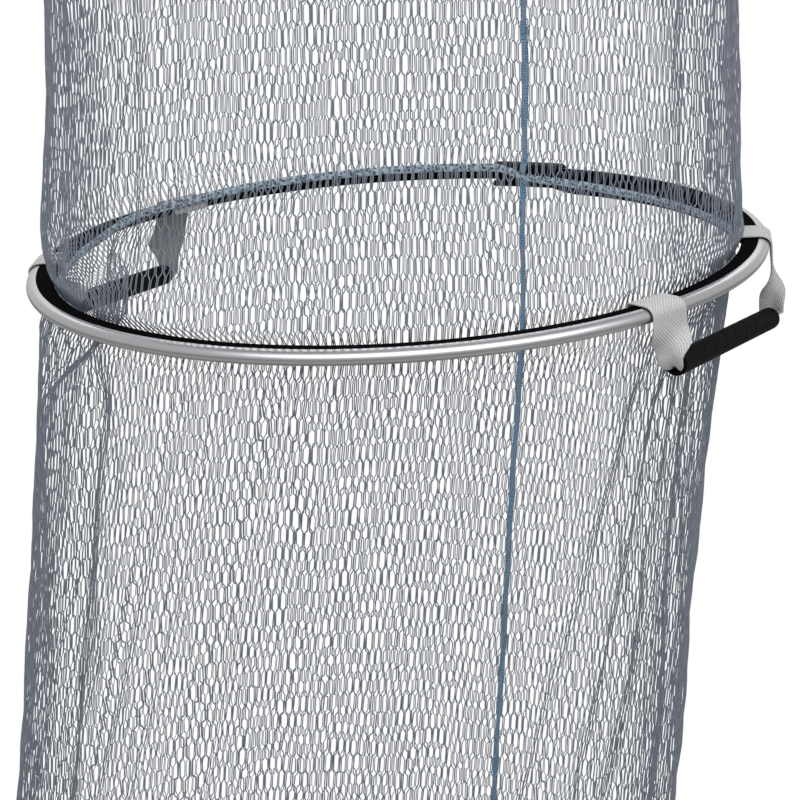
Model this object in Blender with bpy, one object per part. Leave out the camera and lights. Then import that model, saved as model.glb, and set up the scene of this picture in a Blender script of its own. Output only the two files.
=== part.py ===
"""A keep net: four aluminium rings, a tube of netting between them and two lifting handles.

Metres, +Z up. The net hangs from the threaded boss on its mouth ring. The origin is the mouth
of that thread, -Y points out of it, and the net hangs down -Z. Each ring below the mouth slides
up towards the ring above it when the net is folded, and each handle swings about the ring that
carries it.
"""

import math
from collections import namedtuple

import bmesh
import bpy
from mathutils import Matrix, Vector

# Clearances and facets
CLEARANCE = 0.0003  # between pieces that touch on the real net
OVERRUN = 0.002  # how far a cutter reaches past what it cuts
RING_STEPS = 40  # facets round a ring and round the netting, an even number

# Posture: how the net hangs in the photograph
UPPER_SPACING = 0.440  # mouth ring to handle ring
LOWER_SPACING = 0.580  # handle ring to middle ring, and middle ring to base ring
HANDLE_RING_TILT_DEG = 3.9  # the handle ring's -X side hangs lower
LEAN_DEG = 5.0  # the net below the handle ring swings towards -X

# Rim: a half-round aluminium channel, open inwards
RING_RADIUS = 0.250  # outermost
RIM_HEIGHT = 0.0100
RIM_DEPTH = 0.0068
RIM_WALL = 0.0012
RIM_BUTT_GAP = 0.0006  # between the bent channel's two ends
RIM_ARC_POINTS = 4  # steps round the half-round

# Liner: a rubber strip in the channel, which holds the netting
LINER_DEPTH = 0.0117  # what stands out of the channel, inwards
LINER_HEIGHT = 0.0096
LINER_CORNER = 0.0026
TONGUE_DEPTH = 0.0042  # what lies inside the channel
TONGUE_ROOT_HEIGHT = 0.0066
TONGUE_TIP_HEIGHT = 0.0036

# Joint sleeve: a moulded cover over the channel's two ends
SEAM_AZIMUTH_DEG = 92.4  # the rings' joints and the netting's seam lie above each other
SLEEVE_LENGTH = 0.055
SLEEVE_TOP_WALL = 0.0034
SLEEVE_OUTER_WALL = 0.0022
SLEEVE_COVER = 0.0105  # how far its cheeks reach over the liner
SLEEVE_STEPS = 4

# Netting
HEM_HEIGHT = 0.0090
NET_WALL = 0.0011
NET_STRAND = 0.0140  # between the openings that stand for its many meshes
NET_OPENING_ROWS = 4  # of openings, one above the other, in each section
UPPER_NET_INSET = 0.0185  # from the rim's outside in to the netting, above the handle ring
NET_INSET = 0.0150  # and below it
NET_COLLAR = 0.0140  # the netting leaves a ring straight for this far
NET_FLARE = 0.034  # and has its full width at this distance from the ring
FOLD_COUNT = 5  # main folds round the slack netting
FOLD_DEPTH = 0.0070
FOLD_TWIST_DEG = 64.0  # how far a fold runs round the net on its way down one section
FOLD_START = 0.085  # the folds begin this far from a ring
SWAY = 0.0080  # the slack netting hangs this far to -X of its rings' axis
SWAY_START = 0.045  # reached at this distance from a ring
SEAM_DRIFT_DEG = 5.0  # the seam turns this far below the handle ring
PRESS_AZIMUTH_DEG = 195.0  # the left handle leans on the netting here
PRESS_REACH_DEG = 16.0  # as deep this far to either side
PRESS_FADE_DEG = 30.0  # and gone this much further round
PRESSED_RADIUS = 0.1960
PRESS_NECK = 0.003  # the netting hangs straight to here,
PRESS_START = 0.020  # is pressed in from here
PRESS_LOW = 0.045  # to here
PRESS_FADE = 0.070  # and comes out again over this height
HEM_EASE = 0.0006  # of the netting inside the straps, where it leaves the tilted ring
HEM_DROP = 0.003  # the handle ring's hem has slipped down this far on the liner
HEM_SLIP = 0.007  # and further by this much on one side, and up on the other
HEM_LOW_AZIMUTH_DEG = 15.0
SEAM_WIDTH = 0.0036
SEAM_THICKNESS = 0.0008
SEAM_LIFT = 0.0006  # the tape lies this far off the uneven strand under it
BASE_SAG = 0.014
BASE_OPENING_ROWS = 2  # between the base's edge and its hub
BASE_HUB_RADIUS = 0.070

# Handles: two on the handle ring, opposite each other
STRAP_AZIMUTH_DEG = 21.65  # of each strap, from the middle of its handle
STRAP_WIDTH = 0.030
STRAP_FOOT_WIDTH = 0.014
STRAP_THICKNESS = 0.0015
STRAP_END_DEPTH = 0.0075  # how far the strap reaches down inside the ring
STRAP_EASE = 0.0011  # lets the flat strap lie along the curved ring
STRAP_CURVE_STEPS = 4
STRAP_SETTLE_SHARE = 0.75  # of its drop, over which the strap narrows and turns
STRAP_TAIL_RADIUS = 0.0042
STRAP_TAIL_LENGTH = 0.018
GRIP_RADIUS = 0.0068
GRIP_BORE_RADIUS = 0.0046
GRIP_LENGTH = 0.176
GRIP_END_ROUND = 0.0022
GRIP_RIBS = 13
GRIP_GROOVE_DEPTH = 0.0007
GRIP_GROOVE_WIDTH = 0.0030
GRIP_SMOOTH_END = 0.012
GRIP_SIDES = 10
RIGHT_INSET = 0.0160  # from the rim's outside in to the grip's axis
RIGHT_FRONT_DROP = 0.037  # from the ring's middle to the grip's axis
RIGHT_REAR_DROP = 0.056
LEFT_FRONT_INSET = 0.0447  # the left handle's front end has swung in under the ring
LEFT_REAR_INSET = 0.0089
LEFT_FRONT_DROP = 0.026
LEFT_REAR_DROP = 0.052

# Boss for a bank stick, on the mouth ring
BOSS_REACH = 0.030  # from the rim's outside to the thread's mouth
BOSS_WIDTH = 0.036
BOSS_WALL = 0.0032
BOSS_COVER = 0.0095  # how far its cheeks reach inwards from the rim's outside
SADDLE_DEPTH = 0.0085  # of solid material outside the rim
BOSS_STEPS = 4
NOSE_RADIUS = 0.0105
NOSE_SIDES = 24
INSERT_RADIUS = 0.0068
INSERT_LENGTH = 0.022
INSERT_CHAMFER = 0.0007
THREAD_RADIUS = 0.0046
THREAD_DEPTH = 0.017
SCREW_OFFSET = 0.0140  # from the thread's axis
SCREW_HEAD_RADIUS = 0.0026
SCREW_HEAD_HEIGHT = 0.0014
SCREW_SHANK_RADIUS = 0.0012
SCREW_SHANK_LENGTH = 0.0060
SCREW_SIDES = 12

# Worked out from the sizes above
LIP_RADIUS = RING_RADIUS - RIM_DEPTH
LINER_OUTER_RADIUS = LIP_RADIUS - CLEARANCE
LINER_INNER_RADIUS = LINER_OUTER_RADIUS - LINER_DEPTH
TUBE_RADIUS = (RING_RADIUS + LINER_INNER_RADIUS) / 2
SEAM_AZIMUTH = math.radians(SEAM_AZIMUTH_DEG)
STRAP_AZIMUTH = math.radians(STRAP_AZIMUTH_DEG)
LEAN = math.radians(LEAN_DEG)
HANDLE_RING_TILT = math.radians(HANDLE_RING_TILT_DEG)
FULL_TURN = 2 * math.pi
PIVOT_RADIUS = TUBE_RADIUS * math.cos(STRAP_AZIMUTH)
UPPER_NET_RADIUS = RING_RADIUS - UPPER_NET_INSET
NET_RADIUS = RING_RADIUS - NET_INSET

Station = namedtuple("Station", "name body matrix hem_matrix hem_radius")
GripEnd = namedtuple("GripEnd", "where inset drop wrap")


def material(name, colour, roughness, metallic=0.0):
    """A Principled material."""
    made = bpy.data.materials.new(name)
    made.use_nodes = True
    surface = made.node_tree.nodes["Principled BSDF"]
    surface.inputs["Base Color"].default_value = (*colour, 1)
    surface.inputs["Roughness"].default_value = roughness
    surface.inputs["Metallic"].default_value = metallic
    return made


def make_materials():
    return {
        "aluminium": material("anodised_aluminium", (0.62, 0.63, 0.64), 0.3, 1.0),
        "rubber": material("black_rubber", (0.012, 0.012, 0.013), 0.6),
        "nylon": material("black_nylon", (0.016, 0.016, 0.018), 0.45),
        "netting": material("knitted_netting", (0.29, 0.34, 0.42), 0.8),
        "seam": material("blue_seam_tape", (0.11, 0.22, 0.33), 0.8),
        "webbing": material("grey_webbing", (0.5, 0.5, 0.49), 0.85),
        "brass": material("brass", (0.7, 0.52, 0.24), 0.35, 1.0),
        "steel": material("stainless_steel", (0.58, 0.58, 0.58), 0.3, 1.0),
    }


def empty(name, matrix, parent=None):
    """An empty that carries a body's pieces."""
    made = bpy.data.objects.new(name, None)
    bpy.context.collection.objects.link(made)
    made.parent = parent
    made.matrix_world = matrix
    return made


def piece(name, shape, look, parent, matrix):
    """An object made from a bmesh that is given in the frame of matrix."""
    mesh = bpy.data.meshes.new(name)
    bmesh.ops.recalc_face_normals(shape, faces=shape.faces)
    shape.to_mesh(mesh)
    shape.free()
    mesh.materials.append(look)
    mesh.shade_smooth()
    mesh.set_sharp_from_angle(angle=math.radians(40))
    made = bpy.data.objects.new(name, mesh)
    bpy.context.collection.objects.link(made)
    made.parent = parent
    bpy.context.view_layer.update()
    made.matrix_world = matrix
    return made


def cutter(name, shape, parent, matrix):
    """A piece that only shapes another one."""
    made = piece(name, shape, None, parent, matrix)
    made.hide_render = True
    made.display_type = "WIRE"
    return made


def boolean(target, tool, operation):
    """Joins the tool to the target, or cuts it out."""
    step = target.modifiers.new(f"{operation.lower()}_{tool.name}", "BOOLEAN")
    step.operation = operation
    step.object = tool


def thicken(target, wall, offset):
    """Gives a surface its wall: offset -1 keeps it as the outer face, 1 as the inner one."""
    step = target.modifiers.new("wall", "SOLIDIFY")
    step.thickness = wall
    step.offset = offset
    step.use_even_offset = True


def outline_face(outline):
    """A bmesh with one face in the XZ plane, from (x, z) points."""
    shape = bmesh.new()
    shape.faces.new([shape.verts.new((x, 0, z)) for x, z in outline])
    return shape


def swept(outline, start, angle, steps):
    """The outline's solid, swept round Z from the azimuth start."""
    shape = outline_face(outline)
    bmesh.ops.rotate(shape, verts=shape.verts, matrix=Matrix.Rotation(start, 3, "Z"))
    bmesh.ops.spin(
        shape,
        geom=shape.faces[:],
        axis=(0, 0, 1),
        cent=(0, 0, 0),
        angle=angle,
        steps=steps,
    )
    return shape


def turned(outline, steps):
    """A full turn of a closed outline round Z."""
    shape = bmesh.new()
    corners = [shape.verts.new((x, 0, z)) for x, z in outline]
    for here, there in zip(corners, corners[1:] + corners[:1]):
        shape.edges.new((here, there))
    bmesh.ops.rotate(shape, verts=shape.verts, matrix=Matrix.Rotation(SEAM_AZIMUTH, 3, "Z"))
    bmesh.ops.spin(
        shape,
        geom=shape.edges[:],
        axis=(0, 0, 1),
        cent=(0, 0, 0),
        angle=FULL_TURN,
        steps=steps,
        use_merge=True,
    )
    return shape


def solid_of_revolution(outline, steps):
    """A full turn round Z of an open outline whose two ends lie on the axis."""
    shape = bmesh.new()
    corners = [shape.verts.new((x, 0, z)) for x, z in outline]
    for here, there in zip(corners, corners[1:]):
        shape.edges.new((here, there))
    bmesh.ops.spin(
        shape,
        geom=shape.edges[:],
        axis=(0, 0, 1),
        cent=(0, 0, 0),
        angle=FULL_TURN,
        steps=steps,
        use_merge=True,
    )
    bmesh.ops.remove_doubles(shape, verts=shape.verts, dist=CLEARANCE / 10)
    return shape


def half_round(depth, height, steps):
    """Points of half an ellipse that bulges outwards from LIP_RADIUS, top to bottom."""
    turns = [math.pi / 2 - math.pi * n / steps for n in range(steps + 1)]
    return [(LIP_RADIUS + depth * math.cos(t), height / 2 * math.sin(t)) for t in turns]


def rim_outline():
    outer = half_round(RIM_DEPTH, RIM_HEIGHT, RIM_ARC_POINTS)
    inner = half_round(RIM_DEPTH - RIM_WALL, RIM_HEIGHT - 2 * RIM_WALL, RIM_ARC_POINTS)
    return outer + inner[::-1]


def liner_outline():
    top = LINER_HEIGHT / 2
    inner, outer = LINER_INNER_RADIUS, LINER_OUTER_RADIUS
    root, tip = TONGUE_ROOT_HEIGHT / 2, TONGUE_TIP_HEIGHT / 2
    upper = [
        (inner, top - LINER_CORNER),
        (inner + LINER_CORNER, top),
        (outer, top),
        (outer, root),
        (outer + TONGUE_DEPTH, tip),
    ]
    return upper + [(x, -z) for x, z in reversed(upper)]


def sleeve_outline():
    inner = LINER_OUTER_RADIUS - SLEEVE_COVER
    shell = half_round(RIM_DEPTH + CLEARANCE, RIM_HEIGHT + 2 * CLEARANCE, RIM_ARC_POINTS)
    outer_height = RIM_HEIGHT + 2 * CLEARANCE + 2 * SLEEVE_TOP_WALL
    outer = half_round(RIM_DEPTH + CLEARANCE + SLEEVE_OUTER_WALL, outer_height, RIM_ARC_POINTS)
    return (
        [(inner, outer_height / 2)]
        + outer
        + [(inner, -outer_height / 2), (inner, shell[-1][1])]
        + shell[::-1]
        + [(inner, shell[0][1])]
    )


def hem_outline(radius):
    half = HEM_HEIGHT / 2
    return [
        (radius - NET_WALL, -half),
        (radius, -half),
        (radius, half),
        (radius - NET_WALL, half),
    ]


def make_ring(station, looks):
    """A ring's rim, liner, joint sleeve and the hem of the netting that it holds."""
    gap = RIM_BUTT_GAP / RING_RADIUS
    start, angle = SEAM_AZIMUTH + gap / 2, FULL_TURN - gap
    sleeve = SLEEVE_LENGTH / RING_RADIUS
    rows = (
        ("rim", swept(rim_outline(), start, angle, RING_STEPS), "aluminium"),
        ("liner", swept(liner_outline(), start, angle, RING_STEPS), "rubber"),
        (
            "joint_sleeve",
            swept(sleeve_outline(), SEAM_AZIMUTH - sleeve / 2, sleeve, SLEEVE_STEPS),
            "nylon",
        ),
        ("net_hem", turned(hem_outline(station.hem_radius), RING_STEPS), "netting"),
    )
    for kind, shape, look in rows:
        place = station.hem_matrix if kind == "net_hem" else station.matrix
        piece(f"{station.name}_{kind}", shape, looks[look], station.body, place)


def smooth(x):
    """A smooth step from 0 to 1."""
    x = min(max(x, 0.0), 1.0)
    return x * x * (3 - 2 * x)


def column_azimuth(column, pairing, radius):
    """The azimuth of one of the RING_STEPS columns of points round a sheet of netting.

    Pairing 0 spaces them evenly, and 1 draws them together in pairs, a strand's width apart.
    """
    step = FULL_TURN / RING_STEPS
    half = step / 2 + (NET_STRAND / 2 / radius - step / 2) * pairing
    side = 1 if column % 2 else -1
    return SEAM_AZIMUTH + 2 * step * (column // 2) + side * half


def lattice(rows, open_bands):
    """A round sheet through rows of points, with openings between the pairs of columns.

    The bands between two rows that are listed in open_bands have them. Returns the bmesh and the
    edges of the last row.
    """
    shape = bmesh.new()
    row = [shape.verts.new(place) for place in rows[0]]
    edges = [shape.edges.new((a, b)) for a, b in zip(row, row[1:] + row[:1])]
    openings = []
    for band, places in enumerate(rows[1:]):
        above = row
        grown = bmesh.ops.extrude_edge_only(shape, edges=edges)["geom"]
        fresh = {v for v in grown if isinstance(v, bmesh.types.BMVert)}
        edges = [e for e in grown if isinstance(e, bmesh.types.BMEdge)]
        edges = [e for e in edges if all(v in fresh for v in e.verts)]
        row = [
            next(e.other_vert(v) for e in v.link_edges if e.other_vert(v) in fresh) for v in above
        ]
        for vert, place in zip(row, places):
            vert.co = place
        if band in open_bands:
            for n in range(1, len(row), 2):
                m = (n + 1) % len(row)
                openings.append(shape.faces.get((above[n], above[m], row[m], row[n])))
    bmesh.ops.delete(shape, geom=openings, context="FACES_ONLY")
    return shape, edges


class Section:
    """The tube of netting between two rings."""

    def __init__(self, upper, lower, radius, slack=False, drift=0.0, pressed=False):
        self.upper, self.lower = upper, lower
        self.radius, self.slack, self.drift, self.pressed = radius, slack, drift, pressed
        self.drop = HEM_HEIGHT / 2 + CLEARANCE
        ends = (
            upper.hem_matrix @ Vector((0, 0, -self.drop)),
            lower.hem_matrix @ Vector((0, 0, self.drop)),
        )
        self.middles = ends
        self.length = (ends[0] - ends[1]).length
        pitch = (self.length - 2 * NET_FLARE + NET_STRAND) / NET_OPENING_ROWS
        flares = [0.0, NET_COLLAR, NET_FLARE]
        self.rows = [0.0, PRESS_NECK, NET_COLLAR, NET_FLARE] if pressed else list(flares)
        first_open = len(self.rows) - 1
        for n in range(1, NET_OPENING_ROWS):
            self.rows += [NET_FLARE + pitch * n - NET_STRAND, NET_FLARE + pitch * n]
        self.rows += [self.length - x for x in reversed(flares)]
        self.open_bands = range(first_open, len(self.rows) - len(flares), 2)

    def edge(self, station, turn, height):
        """A point of the section's end on a ring."""
        radius = station.hem_radius
        around = Vector((radius * math.cos(turn), radius * math.sin(turn), height))
        return station.hem_matrix @ around

    def flare(self, down):
        """0 at a ring and 1 where the netting has its full width."""
        from_end = min(down, self.length - down)
        return smooth((from_end - NET_COLLAR) / (NET_FLARE - NET_COLLAR))

    def point(self, turn, down):
        """The netting's outer face at an azimuth, down metres below the section's top."""
        share = down / self.length
        turn -= self.drift * smooth(down / (FOLD_START + NET_FLARE))
        top = self.edge(self.upper, turn, -self.drop)
        bottom = self.edge(self.lower, turn, self.drop)
        middle = self.middles[0].lerp(self.middles[1], share)
        arm = top.lerp(bottom, share) - middle
        from_end = min(down, self.length - down)
        radius = arm.length + (self.radius - arm.length) * self.flare(down)
        if self.slack:
            middle.x -= SWAY * smooth(from_end / SWAY_START)
            wave = math.cos(FOLD_COUNT * (turn + math.radians(FOLD_TWIST_DEG) * share))
            depth = FOLD_DEPTH * smooth((from_end - NET_FLARE) / FOLD_START)
            radius -= depth * (1 + wave) / 2
        if self.pressed:
            radius += (PRESSED_RADIUS - radius) * press(turn, down)
        return middle + arm.normalized() * radius

    def columns(self, down):
        """The azimuths of the netting's columns at a height."""
        pairing = self.flare(down)
        return [column_azimuth(n, pairing, self.radius) for n in range(RING_STEPS)]

    def tube(self):
        """The netting's outer face, with its openings."""
        rows = [[self.point(turn, down) for turn in self.columns(down)] for down in self.rows]
        return lattice(rows, self.open_bands)[0]

    def seam(self):
        """The seam tape's inner face, a strip on the netting's strand along the seam."""
        shape = bmesh.new()
        rows = []
        for down in self.rows:
            left, right = (self.point(turn, down) for turn in self.columns(down)[:2])
            here = left.lerp(right, 1 / 2)
            aside = (right - left).normalized() * SEAM_WIDTH / 2
            out = here - self.middles[0].lerp(self.middles[1], down / self.length)
            lift = out.normalized() * SEAM_LIFT
            rows.append([shape.verts.new(here + lift + aside * s) for s in (-1, 1)])
        for above, below in zip(rows, rows[1:]):
            shape.faces.new((above[0], above[1], below[1], below[0]))
        return shape


def press(turn, down):
    """How far the left handle presses the netting in: 0 is not at all, 1 to PRESSED_RADIUS."""
    off = math.degrees(abs(turn - math.radians(PRESS_AZIMUTH_DEG)) % FULL_TURN)
    off = min(off, math.degrees(FULL_TURN) - off)
    around = 1 - smooth((off - PRESS_REACH_DEG) / PRESS_FADE_DEG)
    inwards = smooth((down - PRESS_NECK) / (PRESS_START - PRESS_NECK))
    return around * inwards * (1 - smooth((down - PRESS_LOW) / PRESS_FADE))


def make_section(name, section, looks):
    """The netting between two rings, and the tape on its seam, carried by the upper ring."""
    upper = section.upper
    world = Matrix.Identity(4)
    net = piece(f"net_{name}", section.tube(), looks["netting"], upper.body, world)
    thicken(net, NET_WALL, -1)
    tape = piece(f"seam_tape_{name}", section.seam(), looks["seam"], upper.body, world)
    thicken(tape, SEAM_THICKNESS, tape_side(tape))
    return net


def tape_side(tape):
    """The Solidify offset that thickens the tape away from the netting."""
    facing = tape.data.polygons[0]
    return 1 if facing.normal.y > 0 else -1


def make_base_net(station, looks):
    """The netting across the base ring, which sags a little in the middle."""
    level = -HEM_HEIGHT / 2 - CLEARANCE
    outer = station.hem_radius
    pitch = (outer - NET_COLLAR - BASE_HUB_RADIUS + NET_STRAND) / BASE_OPENING_ROWS
    radii = [outer]
    for n in range(BASE_OPENING_ROWS):
        start = outer - NET_COLLAR - pitch * n
        radii += [start, start + NET_STRAND - pitch]
    rows = []
    for radius in radii:
        turns = [column_azimuth(n, radius < outer, radius) for n in range(RING_STEPS)]
        sag = BASE_SAG * (1 - (radius / outer) ** 2)
        rows.append([(radius * math.cos(t), radius * math.sin(t), level - sag) for t in turns])
    shape, edges = lattice(rows, range(1, len(radii), 2))
    middle = shape.verts.new((0, 0, level - BASE_SAG))
    for edge in edges:
        shape.faces.new((*edge.verts, middle))
    net = piece("net_base", shape, looks["netting"], station.body, station.hem_matrix)
    net.data.update()
    thicken(net, NET_WALL, -1 if net.data.polygons[0].normal.z > 0 else 1)


def rounded(corner, before, after, radius, steps):
    """Points of an arc that rounds the corner of an (x, z) path."""
    corner, before, after = Vector(corner), Vector(before), Vector(after)
    one, two = (before - corner).normalized(), (after - corner).normalized()
    half = math.acos(max(-1.0, min(1.0, one.dot(two)))) / 2
    cut = radius / math.tan(half)
    centre = corner + (one + two).normalized() * radius / math.sin(half)
    start, end = corner + one * cut - centre, corner + two * cut - centre
    sweep = start.angle_signed(end)
    return [tuple(centre + Matrix.Rotation(-sweep * n / steps, 2) @ start) for n in range(steps + 1)]


class GripLine:
    """A grip's axis in the frame of its ring, turned so that the handle is at +X.

    Ends maps -1 and 1, the sides towards -Y and +Y, to how the grip hangs there.
    """

    def __init__(self, ends):
        self.ends = ends
        low, high = (Vector((RING_RADIUS - ends[n].inset, 0, -ends[n].drop)) for n in (-1, 1))
        slant = high - low
        run = math.sqrt(GRIP_LENGTH**2 - slant.length_squared)
        self.middle = (low + high) / 2
        self.along = Vector((slant.x, run, slant.z)).normalized()

    def point(self, distance):
        return self.middle + self.along * distance

    def foot(self, side):
        """The middle of a strap's foot, clear of the grip's end, which slopes with its axis."""
        slope = GRIP_RADIUS * abs(self.along.z)
        return self.point(side * (GRIP_LENGTH / 2 + CLEARANCE + slope + STRAP_FOOT_WIDTH / 2))

    def matrix(self):
        """A frame at the grip's middle whose Z runs along it."""
        turn = self.along.to_track_quat("Z", "X").to_matrix().to_4x4()
        return Matrix.Translation(self.middle) @ turn


def strap_path(side, line):
    """Stations of a strap in its ring's frame: middle, width direction, face direction and width.

    The strap starts inside the ring beside the liner, crosses over the liner and the rim, follows
    the rim round as far as its wrap says, and runs down to the grip's end. Side is -1 or 1.
    """
    azimuth = side * STRAP_AZIMUTH
    off = CLEARANCE + STRAP_THICKNESS / 2
    top = RIM_HEIGHT / 2 + off
    inside = LINER_INNER_RADIUS - STRAP_EASE - off
    over = rounded((inside, top), (inside, 0), (RING_RADIUS, top), LINER_CORNER, STRAP_CURVE_STEPS)
    rim = half_round(RIM_DEPTH + off, RIM_HEIGHT + 2 * off, RIM_ARC_POINTS)
    upper = [(inside, RIM_HEIGHT / 2 - STRAP_END_DEPTH)] + over + rim[: line.ends[side].wrap + 1]
    tangent = Vector((-math.sin(azimuth), math.cos(azimuth), 0))
    out = Vector((math.cos(azimuth), math.sin(azimuth), 0))
    stations = []
    for n, (x, z) in enumerate(upper):
        before, after = upper[max(n - 1, 0)], upper[min(n + 1, len(upper) - 1)]
        way = Vector((after[0] - before[0], 0, after[1] - before[1])).normalized()
        run = out * way.x + Vector((0, 0, way.z))
        stations.append((out * x + Vector((0, 0, z)), tangent, run.cross(tangent), STRAP_WIDTH))
    start = stations[-1][0]
    foot = line.foot(side)
    for n in range(1, STRAP_CURVE_STEPS + 1):
        share = n / STRAP_CURVE_STEPS
        settled = smooth(share / STRAP_SETTLE_SHARE)
        middle = start.lerp(foot, settled)
        middle.z = start.z + (foot.z - start.z) * share
        across = tangent.lerp(line.along, settled).normalized()
        face = Vector((0, 0, -1)).cross(across)
        width = STRAP_WIDTH + (STRAP_FOOT_WIDTH - STRAP_WIDTH) * settled
        stations.append((middle, across, face, width))
    below = foot + Vector((0, 0, -STRAP_TAIL_RADIUS))
    stations.append((below, line.along, stations[-1][2], STRAP_FOOT_WIDTH))
    return stations


def strap_solid(stations, to_local):
    """A flat band through the stations: a rectangle extruded from each to the next."""

    def corners(middle, width_way, face_way, width):
        across, thick = width_way * width / 2, face_way.normalized() * STRAP_THICKNESS / 2
        return [
            to_local @ (middle + across * a + thick * t)
            for a, t in ((-1, -1), (1, -1), (1, 1), (-1, 1))
        ]

    shape = bmesh.new()
    end = shape.faces.new([shape.verts.new(p) for p in corners(*stations[0])])
    for station in stations[1:]:
        whole = [end, *end.edges, *end.verts]
        grown = bmesh.ops.extrude_face_region(shape, geom=whole)
        end = next(g for g in grown["geom"] if isinstance(g, bmesh.types.BMFace))
        for vert, place in zip(end.verts, corners(*station)):
            vert.co = place
    return shape


def grip_outline():
    """The grip's closed outline round its own axis: (radius, along)."""
    half = GRIP_LENGTH / 2
    ribbed = GRIP_LENGTH - 2 * GRIP_SMOOTH_END
    pitch = ribbed / GRIP_RIBS
    points = [(GRIP_BORE_RADIUS, -half), (GRIP_RADIUS - GRIP_END_ROUND, -half)]
    points.append((GRIP_RADIUS, -half + GRIP_END_ROUND))
    for n in range(1, GRIP_RIBS):
        middle = -ribbed / 2 + pitch * n
        points.append((GRIP_RADIUS, middle - GRIP_GROOVE_WIDTH / 2))
        points.append((GRIP_RADIUS - GRIP_GROOVE_DEPTH, middle))
        points.append((GRIP_RADIUS, middle + GRIP_GROOVE_WIDTH / 2))
    points.append((GRIP_RADIUS, half - GRIP_END_ROUND))
    points += [(GRIP_RADIUS - GRIP_END_ROUND, half), (GRIP_BORE_RADIUS, half)]
    return points


def make_handle(name, turn, ends, station, looks):
    """A grip on two straps, on the side of the ring that lies at the azimuth turn."""
    frame = station.matrix @ Matrix.Rotation(turn, 4, "Z")
    pivot = frame @ Matrix.Translation((PIVOT_RADIUS, 0, 0))
    body = empty(f"{name}_handle", pivot, station.body)
    to_pivot = pivot.inverted() @ frame
    line = GripLine(ends)
    place = frame @ line.matrix()
    piece(f"{name}_handle_grip", turned(grip_outline(), GRIP_SIDES), looks["rubber"], body, place)
    for side in (-1, 1):
        title = f"{name}_handle_{ends[side].where}_strap"
        band = strap_solid(strap_path(side, line), to_pivot)
        strap = piece(title, band, looks["webbing"], body, pivot)
        tail = bmesh.new()
        made = bmesh.ops.create_cone(
            tail,
            cap_ends=True,
            segments=GRIP_SIDES,
            radius1=STRAP_TAIL_RADIUS,
            radius2=STRAP_TAIL_RADIUS,
            depth=STRAP_TAIL_LENGTH + STRAP_FOOT_WIDTH / 2,
        )["verts"]
        reach = GRIP_LENGTH / 2 + STRAP_FOOT_WIDTH / 4 + CLEARANCE - STRAP_TAIL_LENGTH / 2
        bmesh.ops.translate(tail, verts=made, vec=(0, 0, side * reach))
        boolean(strap, cutter(f"{title}_tail", tail, body, place), "UNION")


def boss_outline():
    """The saddle's outline: it hugs the rim from outside, (radius, height)."""
    shell = half_round(RIM_DEPTH + CLEARANCE, RIM_HEIGHT + 2 * CLEARANCE, RIM_ARC_POINTS)
    inner = RING_RADIUS - BOSS_COVER
    outer = RING_RADIUS + SADDLE_DEPTH
    half = RIM_HEIGHT / 2 + CLEARANCE + BOSS_WALL
    return (
        [(inner, half), (outer - BOSS_WALL, half), (outer, half - BOSS_WALL)]
        + [(outer, BOSS_WALL - half), (outer - BOSS_WALL, -half), (inner, -half)]
        + [(inner, shell[-1][1])]
        + shell[::-1]
        + [(inner, shell[0][1])]
    )


def rod(radius, length, sides):
    """A cylinder from the thread's mouth inwards along +Y."""
    shape = bmesh.new()
    bmesh.ops.create_cone(
        shape, cap_ends=True, segments=sides, radius1=radius, radius2=radius, depth=length
    )
    bmesh.ops.rotate(shape, verts=shape.verts, matrix=Matrix.Rotation(math.pi / 2, 3, "X"))
    bmesh.ops.translate(shape, verts=shape.verts, vec=(0, length / 2, 0))
    return shape


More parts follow.
